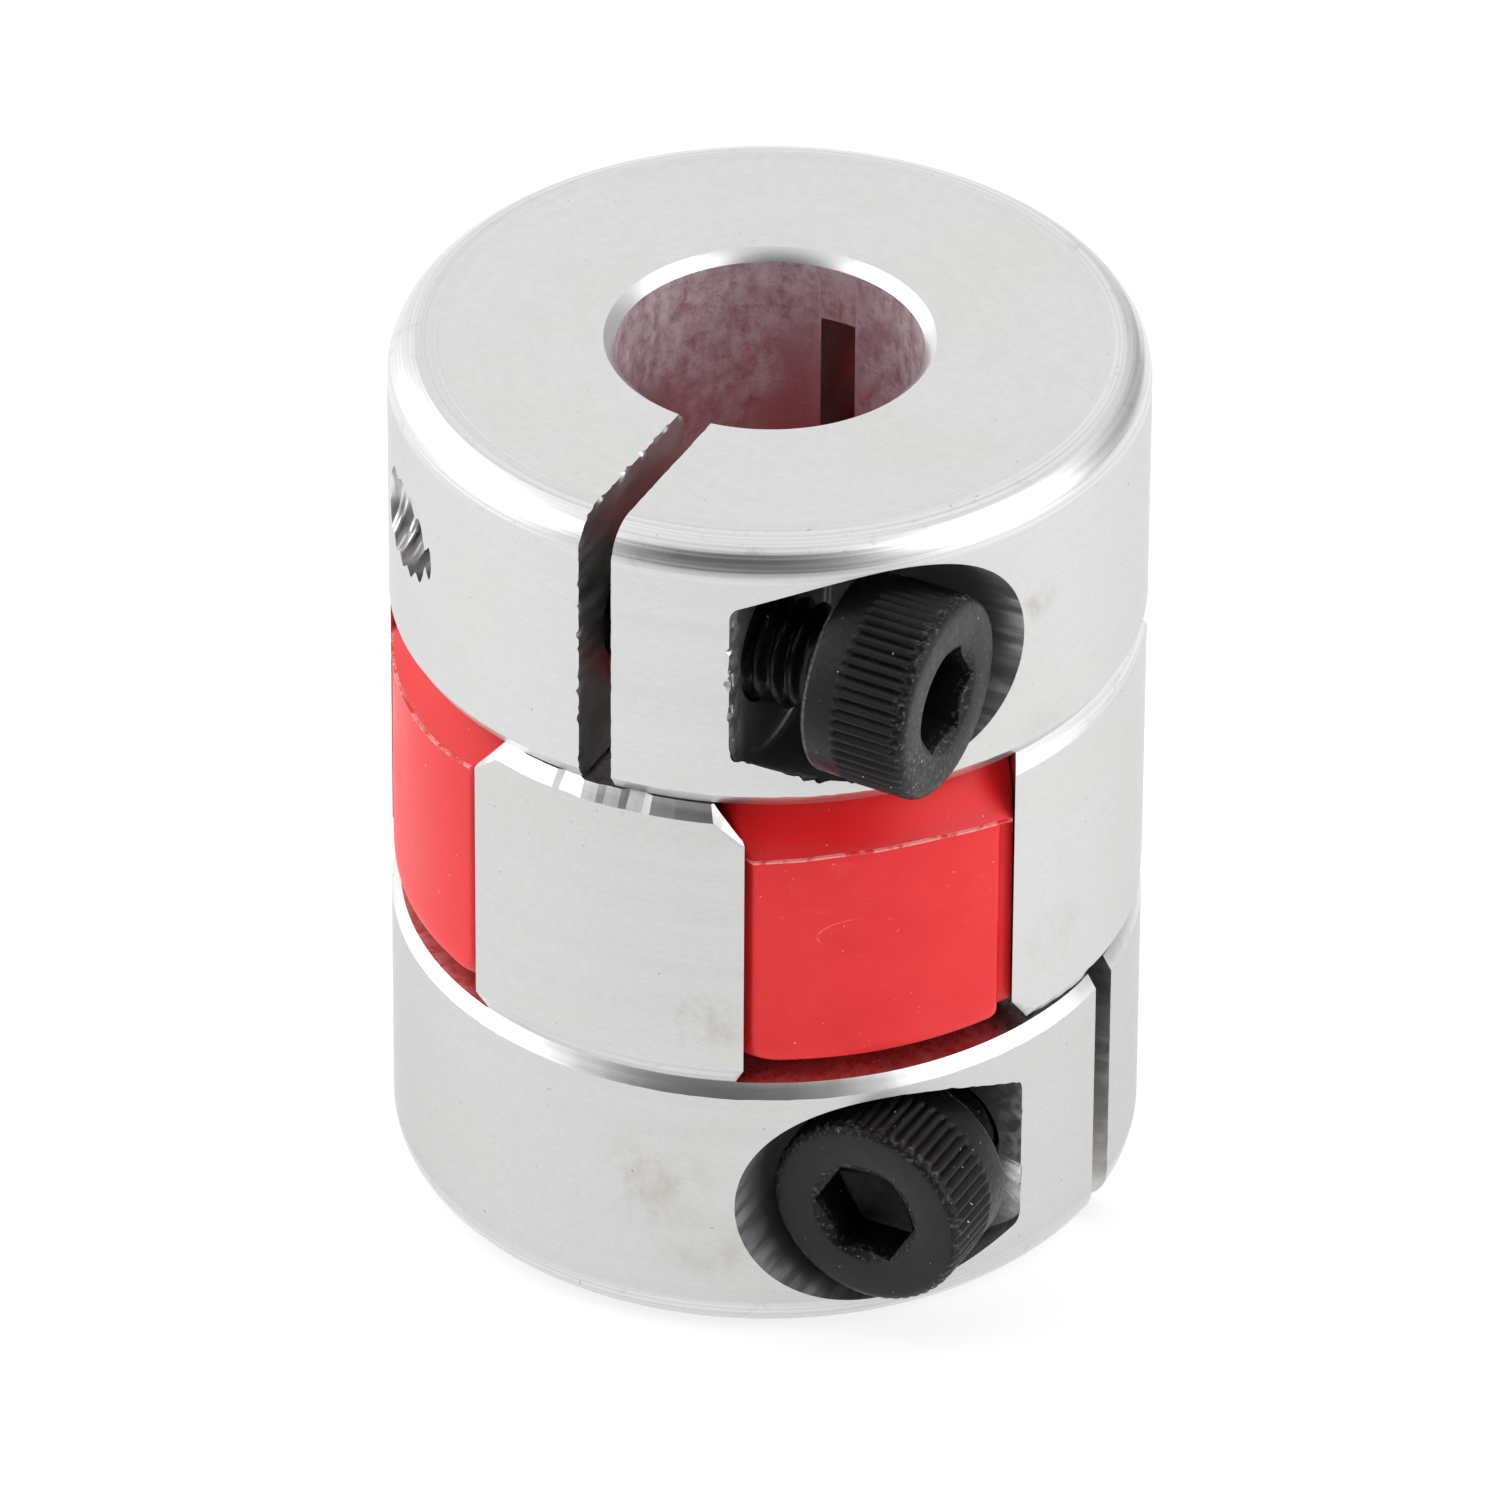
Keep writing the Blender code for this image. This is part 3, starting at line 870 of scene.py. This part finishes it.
def hub_mesh(name, seed, torn):
    """Turns the blank, cuts it, breaks the clean edges, and leaves the rough cuts' edges."""
    rows = hub_profile()
    chips = random.Random(seed)
    steps = [chips.uniform(-1, 1) for _ in range(TURNED_SEGMENTS)]

    def shift(angle, r, z):
        index = int(round(angle / math.tau * TURNED_SEGMENTS)) % TURNED_SEGMENTS
        facet = index - index % TIP_FACET_SEGMENTS
        if abs(z - TIP_Z) < SAME_ROW and r > OUTER_R - 2 * TIP_CHAMFER:
            return r + TIP_FACET_DEEP * steps[facet], z
        if abs(z - TIP_Z - TIP_CHAMFER) < SAME_ROW:
            return r, z + TIP_FACET_RISE * steps[facet]
        if abs(z - FACE_Z - GROOVE_ABOVE) < SAME_ROW:
            return r, z + GROOVE_WAVER * steps[index]
        return r, z

    blank = add_object(name, turned_mesh(
        name, [(r, z) for r, z, _ in rows], TURNED_SEGMENTS, True, [s for _, _, s in rows], shift))
    plain = [bpy.data.materials.new(f"slot_{i}") for i in HUB_SLOTS]
    set_materials(blank, plain)
    cut(blank, clean_cutters(seed), plain)
    round_edges(blank, EDGE_BEVEL, 2, 40)
    apply_all(blank)
    tidy_mesh(blank.data)
    cut(blank, rough_cutters(seed, torn), plain)
    smooth(blank, 24)
    crisp = set()
    for polygon in blank.data.polygons:
        if polygon.material_index == POLISHED and polygon.center.z < TIP_Z + TIP_CHAMFER:
            crisp.update(polygon.edge_keys)
    for edge in blank.data.edges:
        if edge.key in crisp:
            edge.use_edge_sharp = True
    even = blank.modifiers.new("Normals", "WEIGHTED_NORMAL")
    even.keep_sharp = True
    apply_all(blank)
    for material in plain:
        bpy.data.materials.remove(material)
    return blank


def make_hub(name, node, seed, torn, tone, matrix):
    """A hub in place of its node, which rides on the body of the same name. torn is how
    ragged its rough edges are, and tone how bright its turned skin is."""
    obj = hub_mesh(name, seed, torn)
    set_materials(obj, [
        turned_aluminium(f"{name}_turned", seed, matrix, tone),
        polished_aluminium(f"{name}_polished", seed),
        milled_aluminium(f"{name}_milled", seed),
        bored_aluminium(f"{name}_bored", seed),
        sawn_aluminium(f"{name}_sawn", seed),
        pocket_aluminium(f"{name}_pocket", seed),
    ])
    obj.matrix_world = matrix
    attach(obj, node)
    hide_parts(node)


# ==================== spider
def polar(r, angle, center=(0, 0)):
    return (center[0] + r * math.cos(angle), center[1] + r * math.sin(angle))


def sweep(center, r, first, last, steps, extra=0):
    """Points on an arc; its last point is left out unless extra is 1."""
    return [polar(r, first + (last - first) * i / steps, center) for i in range(steps + extra)]


def half_lobe(outer, lobe_r, ring_r, corner, step):
    """Points from the middle of a lobe's outside to the middle of the ring between two lobes.
    step > 0 sinks the outer part of the flank, so that the lobe meets its jaw further in."""
    pitch = LOBE_PITCH_R
    front_r = lobe_r - step
    d_out = outer - corner
    d_lobe = front_r - corner
    a = math.acos((d_out**2 + pitch**2 - d_lobe**2) / (2 * d_out * pitch))
    corner_at = polar(d_out, a)
    turn = math.atan2(corner_at[1], corner_at[0] - pitch)
    r_root = ring_r + RING_BLEND
    d_root = lobe_r + RING_BLEND
    b = math.acos((r_root**2 + pitch**2 - d_root**2) / (2 * r_root * pitch))
    root_at = polar(r_root, b)
    root_turn = math.atan2(root_at[1], root_at[0] - pitch)
    points = sweep((0, 0), outer, 0, a, 14)
    points += sweep(corner_at, corner, a, turn, 8)
    shares = [i * LEDGE_DEEP / 12 for i in range(14)]
    shares += [LEDGE_DEEP + 0.14 + i * 0.06 for i in range(13)]
    for share in shares:
        grow = min(1.0, max(0.0, share / LEDGE_DEEP - 0.45) / 0.45)
        r = front_r + step * grow * grow * (3 - 2 * grow)
        points.append(polar(r, turn + (root_turn - turn) * share, (pitch, 0)))
    points += sweep(root_at, RING_BLEND, root_turn + math.pi, b + math.pi, 6)
    points += sweep((0, 0), ring_r, b, math.pi / 4, 6, extra=1)
    return points


def cap_angles():
    """One rising angle for each point of the outline, for the rings inside it."""
    half = [math.radians(17.5) * i / 22 for i in range(22)]
    for first, last, steps, count in ((17.5, 27.0, 27, 27), (27.0, 30.0, 6, 6), (30.0, 45.0, 6, 7)):
        half += [math.radians(first + (last - first) * i / steps) for i in range(count)]
    lobe = [-angle for angle in reversed(half[1:-1])] + half
    return [math.pi / 2 * i + math.pi / 4 + angle for i in range(4) for angle in lobe]


def spider_outline(outer, shrink, corner, step):
    """Points round four lobes on a ring. Of each lobe one flank touches a jaw of the upper
    hub; the other has room for the wind-up against a jaw of the lower hub."""
    ring_r = SPIDER_RING_R - shrink
    touching = half_lobe(outer, TOUCHING_LOBE_R - shrink, ring_r, max(0.07 * MM, corner * 0.45), step)
    free = half_lobe(outer, LOBE_R - shrink, ring_r, corner, 0.0)
    points = []
    for i in range(4):
        ahead, behind = (free, touching) if i % 2 == 0 else (touching, free)
        lobe = [(x, -y) for x, y in reversed(behind[1:-1])] + ahead
        turn_by = math.pi / 2 * i + math.pi / 4
        c, s = math.cos(turn_by), math.sin(turn_by)
        points += [(c * x - s * y, s * x + c * y) for x, y in lobe]
    return points


def flash_lift(x, y, z):
    """The moulding line wanders: it sinks towards one end of the front lobes and rises
    towards one end of the side lobes."""
    angle = math.degrees(math.atan2(y, x)) % 180
    from_middle = (angle - 45) if angle < 90 else (angle - 135)
    if angle > 90:
        sink = 0.00085 if from_middle > 1 else 0.00035
        line = -sink * (from_middle - 1) ** 2
    else:
        line = 0.0006 * max(0.0, from_middle) ** 2
    near = max(0.0, 1 - abs(z - FLASH_Z) / (1.05 * MM))
    wave = 0.03 * noise.noise(Vector((x / MM * 0.8, y / MM * 0.8, 3.0)))
    return (line + wave) * MM * near


RED, FLASH = range(2)

SPIDER_LEVELS = [
    # height, outer radius, less of each lobe's radius, corner radius, sunk flank (mm), slot
    (4.00, 8.66, 0.30, 0.50, 0.0, RED),
    (3.95, 8.82, 0.14, 0.50, 0.0, RED),
    (3.82, 8.98, 0.03, 0.42, 0.0, RED),
    (3.55, 9.20, 0.0, 0.34, 0.0, RED),
    (3.30, 9.44, 0.0, 0.28, 0.02, RED),
    (3.05, 9.68, 0.0, 0.24, 0.04, RED),
    (2.945, 9.83, 0.0, 0.22, 0.05, RED),
    (2.885, 9.88, 0.0, 0.20, 0.05, FLASH),
    (2.87, 9.965, -0.01, 0.12, 0.05, FLASH),
    (2.82, 9.965, -0.01, 0.12, 0.06, FLASH),
    (2.79, 9.905, 0.01, 0.14, 0.24, RED),
    (2.72, 9.91, 0.02, 0.18, 0.34, RED),
    (2.50, 9.925, 0.02, 0.20, 0.36, RED),
    (0.0, 9.94, 0.02, 0.22, 0.36, RED),
    (-2.90, 9.94, 0.02, 0.26, 0.36, RED),
    (-3.20, 9.935, 0.02, 0.45, 0.36, RED),
    (-3.42, 9.92, 0.02, 0.75, 0.36, RED),
    (-3.56, 9.89, 0.03, 1.05, 0.36, RED),
    (-3.66, 9.82, 0.05, 1.30, 0.34, RED),
    (-3.76, 9.66, 0.10, 1.35, 0.30, RED),
    (-3.88, 9.38, 0.20, 1.30, 0.24, RED),
    (-3.96, 9.08, 0.32, 1.20, 0.2, RED),
    (-4.00, 8.80, 0.50, 1.10, 0.1, RED),
]


def make_spider():
    ratio = SPIDER_HALF / (SPIDER_LEVELS[0][0] * MM)
    rings = []
    for height, outer, shrink, corner, step, _ in SPIDER_LEVELS:
        outline = spider_outline(outer * MM, shrink * MM, corner * MM, step * MM)
        z = height * MM * ratio
        rings.append([(x, y, z + flash_lift(x, y, z)) for x, y in outline])
    angles = cap_angles()

    def inner_ring(radius, z):
        return [(radius * math.cos(angle), radius * math.sin(angle), z) for angle in angles]

    top = SPIDER_HALF
    rings = [inner_ring(4.4 * MM, top)] + rings + [inner_ring(4.4 * MM, -top)]
    for radius, z in ((3.2, -4.0), (3.05, -3.94), (3.0, -3.8), (3.0, 3.8), (3.05, 3.94), (3.2, 4.0)):
        rings.append(inner_ring(radius * MM, z * MM * ratio))
    slots = [RED] + [level[-1] for level in SPIDER_LEVELS]
    slots += [RED] * (len(rings) - len(slots))
    obj = add_object("spider_lobes", rings_mesh("spider_lobes", rings, True, slots))
    smooth(obj, 40)
    set_materials(obj, [red_polyurethane(), flash_polyurethane()])
    obj.location = (0, 0, END_Z)
    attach(obj, "spider")
    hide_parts("spider")


# ==================== screws
def thread_rings(bottom, top):
    """The shank's thread: its lower end is narrowed and its upper end fades out."""
    rings = []
    rows = round((top - bottom) / THREAD_PITCH * SHANK_STEPS)
    for row in range(rows + 1):
        z = bottom + (top - bottom) * row / rows
        limit = min(SHANK_R, SHANK_ROOT_R - 0.15 * MM + (z - bottom) * 0.9)
        fade = min(1.0, (top - z) / THREAD_PITCH)
        rings.append(thread_ring(z, SHANK_ROOT_R, SHANK_R, limit, KNURL_TEETH, fade))
    return rings


def knurled_ring(radius, z, cut, seed):
    """A ring of the head; cut is the depth of its knurls, from 0 to 1."""
    chips = random.Random(seed)
    depths = [chips.uniform(0.85, 1.0) for _ in range(KNURL_TEETH)]
    count = KNURL_TEETH * KNURL_POINTS
    ring = []
    for k in range(count):
        share = k % KNURL_POINTS / KNURL_POINTS
        groove = max(0.0, 1 - abs(share - 0.5) * 2.6) * depths[k // KNURL_POINTS]
        r = radius - KNURL_DEPTH * cut * groove
        angle = math.tau * k / count
        ring.append((r * math.cos(angle), r * math.sin(angle), z))
    return ring


def hexagon_r(angle, across):
    return across / 2 / math.cos((angle + math.pi / 6) % (math.pi / 3) - math.pi / 6)


def screw_mesh(name, seed):
    """One skin from the tip of the shank, over the head, to the bottom of the socket.
    The head stands on z = 0."""
    tip = -(SCREW_LENGTH - HEAD_LENGTH)
    fine = KNURL_TEETH * KNURL_POINTS
    rings = [[(0, 0, tip)]]
    rings += thread_rings(tip, -0.5 * MM)
    rings.append(circle_ring(SHANK_ROOT_R + 0.02 * MM, -0.3 * MM, KNURL_TEETH))
    rings.append(circle_ring(SHANK_ROOT_R + 0.08 * MM, -0.1 * MM, KNURL_TEETH))
    rings.append(circle_ring(SHANK_ROOT_R + 0.25 * MM, 0.0, KNURL_TEETH))
    rows = [
        (HEAD_R - 0.30 * MM, 0.0, 0.0),
        (HEAD_R - 0.18 * MM, 0.02 * MM, 0.0),
        (HEAD_R - 0.06 * MM, 0.14 * MM, 0.0),
        (HEAD_R - 0.04 * MM, 0.20 * MM, 0.0),
        (HEAD_R - 0.04 * MM, KNURL_START - 0.05 * MM, 0.0),
        (HEAD_R - 0.03 * MM, KNURL_START, 0.05),
        (HEAD_R - 0.005 * MM, KNURL_START + 0.07 * MM, 0.6),
        (HEAD_R, KNURL_START + 0.18 * MM, 1.0),
        (HEAD_R, HEAD_LENGTH - HEAD_ROUND - 0.05 * MM, 1.0),
    ]
    for i in range(8):
        turn = math.pi / 2 * i / 7
        r = HEAD_R - HEAD_ROUND + HEAD_ROUND * math.cos(turn)
        z = HEAD_LENGTH - HEAD_ROUND + HEAD_ROUND * math.sin(turn)
        rows.append((r, z, max(0.0, 0.95 - i * 0.24)))
    rows.append((HEAD_R - HEAD_ROUND - 0.25 * MM, HEAD_LENGTH, 0.0))
    mouth_r = SOCKET_ACROSS_FLATS / math.sqrt(3) + 0.05 * MM
    rows.append((mouth_r + 0.04 * MM, HEAD_LENGTH - 0.01 * MM, 0.0))
    rows.append((mouth_r, HEAD_LENGTH - 0.03 * MM, 0.0))
    rings += [knurled_ring(r, z, cut, seed) for r, z, cut in rows]
    depths = (0.0, 0.06 * MM, SOCKET_DEPTH - 0.1 * MM, SOCKET_DEPTH)
    shrink = (0.0, 0.02 * MM, 0.03 * MM, 0.14 * MM)
    for depth, less in zip(depths, shrink):
        ring = []
        for k in range(fine):
            angle = math.tau * k / fine
            r = hexagon_r(angle, SOCKET_ACROSS_FLATS) - less
            mouth = (mouth_r - hexagon_r(angle, SOCKET_ACROSS_FLATS)) * 0.6
            z = HEAD_LENGTH - 0.03 * MM - (mouth if depth < MM else 0.0) - depth
            ring.append((r * math.cos(angle), r * math.sin(angle), z))
        rings.append(ring)
    rings.append(circle_ring(0.9 * MM, HEAD_LENGTH - SOCKET_DEPTH - 0.12 * MM, fine))
    rings.append([(0, 0, HEAD_LENGTH - SOCKET_DEPTH - 0.5 * MM)])
    return rings_mesh(name, rings)


def make_screw(name, node, seed, outward, turn, lean, out=0.0):
    """Stands the screw in its node's box with its head outward; lean tips the head aside
    and out moves it outward. It rides on the body of its node's name."""
    low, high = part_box(node)
    middle = (low + high) / 2
    outward = Vector(outward)
    half = abs((high - low).dot(outward)) / 2
    tip = middle - outward * (half - out)
    mesh = screw_mesh(name, seed)
    to_axis = Vector((0, 0, 1)).rotation_difference(outward).to_matrix().to_4x4()
    tipped = outward.rotation_difference(outward * SCREW_LENGTH + Vector(lean)).to_matrix().to_4x4()
    from_tip = Matrix.Translation((0, 0, SCREW_LENGTH - HEAD_LENGTH)) @ Matrix.Rotation(turn, 4, "Z")
    mesh.transform(tipped @ to_axis @ from_tip)
    obj = add_object(name, mesh)
    smooth(obj, 38)
    set_materials(obj, [black_oxide(f"{name}_oxide", seed, outward)])
    obj.location = tip
    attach(obj, node)
    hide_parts(node)


# ==================== studio
CAMERA_AZIMUTH = math.radians(26.6)
CAMERA_ELEVATION = math.radians(34.786)
CAMERA_ROLL = math.radians(0.330)
CAMERA_DISTANCE = 0.42243
CAMERA_LENS = 382.24
CAMERA_ASIDE = (-0.463 * MM, 0.503 * MM)
LAMP_DISTANCE = 0.6
WORLD_LEVEL = 1.05
FLOOR_R = 0.30
FLOOR_BEHIND = 0.05
FLOOR_GAP = 0.02 * MM
FLOOR_ALBEDO = 0.42
FLOOR_GLOW = 0.66
# azimuth from the camera's, elevation, radius of full and of no effect (degrees), depth
DARK_PATCHES = (
    (-8, 20, 18, 52, 0.93),
    (132, 0, 8, 42, 0.50),
)


def make_camera():
    a, e = CAMERA_AZIMUTH, CAMERA_ELEVATION
    back = Vector((math.sin(a) * math.cos(e), -math.cos(a) * math.cos(e), math.sin(e)))
    level = Vector((math.cos(a), math.sin(a), 0))
    up = back.cross(level)
    right = level * math.cos(CAMERA_ROLL) + up * math.sin(CAMERA_ROLL)
    above = up * math.cos(CAMERA_ROLL) - level * math.sin(CAMERA_ROLL)
    data = bpy.data.cameras.new("camera")
    data.sensor_width = 36
    data.lens = CAMERA_LENS
    data.clip_start = 0.01
    data.clip_end = 20
    camera = add_object("camera", data)
    middle = (cad_low + cad_high) / 2
    place = middle + back * CAMERA_DISTANCE + right * CAMERA_ASIDE[0] - above * CAMERA_ASIDE[1]
    camera.matrix_world = Matrix.Translation(place) @ Matrix((right, above, back)).transposed().to_4x4()
    bpy.context.scene.camera = camera


def toward(azimuth, elevation):
    """A direction, its azimuth counted from the camera's, positive to the image's right."""
    a, e = CAMERA_AZIMUTH + math.radians(azimuth), math.radians(elevation)
    return Vector((math.sin(a) * math.cos(e), -math.cos(a) * math.cos(e), math.sin(e)))


def soft_box(name, azimuth, elevation, size, radiance):
    """A rectangular lamp that faces the part."""
    width, height = size
    data = bpy.data.lights.new(name, "AREA")
    data.shape = "RECTANGLE"
    data.size = width
    data.size_y = height
    data.energy = radiance * math.pi * width * height
    light = add_object(name, data)
    direction = toward(azimuth, elevation)
    turn = direction.to_track_quat("Z", "Y").to_matrix().to_4x4()
    light.matrix_world = Matrix.Translation(direction * LAMP_DISTANCE + Vector((0, 0, END_Z))) @ turn


def make_world():
    """Even white, with a soft dark patch where the camera stands and a dimmer one behind."""
    world = bpy.data.worlds.new("studio")
    bpy.context.scene.world = world
    world.use_nodes = True
    tree = world.node_tree
    place = tree.nodes.new("ShaderNodeTexCoord").outputs["Generated"]
    level = None
    for azimuth, elevation, inner, outer, depth in DARK_PATCHES:
        dot = tree.nodes.new("ShaderNodeVectorMath")
        dot.operation = "DOT_PRODUCT"
        tree.links.new(place, dot.inputs[0])
        dot.inputs[1].default_value = toward(azimuth, elevation)
        edge = tree.nodes.new("ShaderNodeMapRange")
        edge.interpolation_type = "SMOOTHSTEP"
        tree.links.new(dot.outputs["Value"], edge.inputs[0])
        edge.inputs[1].default_value = math.cos(math.radians(outer))
        edge.inputs[2].default_value = math.cos(math.radians(inner))
        edge.inputs[3].default_value = 1.0
        edge.inputs[4].default_value = 1.0 - depth
        if level is None:
            level = edge.outputs[0]
        else:
            product = tree.nodes.new("ShaderNodeMath")
            product.operation = "MULTIPLY"
            tree.links.new(level, product.inputs[0])
            tree.links.new(edge.outputs[0], product.inputs[1])
            level = product.outputs[0]
    background = tree.nodes["Background"]
    background.inputs["Color"].default_value = (WORLD_LEVEL, WORLD_LEVEL, WORLD_LEVEL, 1.0)
    tree.links.new(level, background.inputs["Strength"])


def make_floor():
    mesh = bpy.data.meshes.new("floor")
    build = bmesh.new()
    bmesh.ops.create_circle(build, cap_ends=True, segments=96, radius=FLOOR_R)
    build.to_mesh(mesh)
    build.free()
    floor = add_object("floor", mesh)
    behind = toward(0, 0) * -FLOOR_BEHIND
    floor.location = (behind.x, behind.y, cad_low.z - FLOOR_GAP)
    n = Nodes("pale_floor")
    tone = n.cloud((30, 30, 30), detail=2.0, rough=0.5)
    color = n.mix(tone, grey(FLOOR_ALBEDO), grey(FLOOR_ALBEDO * 0.97))
    n.put(n.shader.inputs["Base Color"], color)
    n.shader.inputs["Roughness"].default_value = 0.9
    n.shader.inputs["Specular IOR Level"].default_value = 0.0
    n.shader.inputs["Emission Color"].default_value = (1, 1, 1, 1)
    n.shader.inputs["Emission Strength"].default_value = FLOOR_GLOW
    floor.data.materials.append(n.material)


# ==================== build
bpy.context.scene.view_settings.view_transform = "Standard"

to_upper = Matrix.Translation((0, 0, END_Z))
to_lower = to_upper @ Quaternion((1, -1, 0), math.pi).to_matrix().to_4x4()

make_hub("upper_hub_fine", "upper_hub", 11, 1.0, 0.68, to_upper)
make_hub("lower_hub_fine", "lower_hub", 23, 0.25, 0.64, to_lower)
make_spider()
make_screw("upper_screw_fine", "upper_clamp_screw", 5,
           (1, 0, 0), 0.0, (0, -0.18 * MM, -0.20 * MM), 0.09 * MM)
make_screw("lower_screw_fine", "lower_clamp_screw", 8,
           (0, -1, 0), math.radians(30), (-0.04 * MM, 0, 0.06 * MM))

make_camera()
make_world()
make_floor()
soft_box("left_box", -100, 26, (0.75, 0.62), 1.4)
soft_box("right_box", 72, 30, (0.50, 0.62), 1.6)
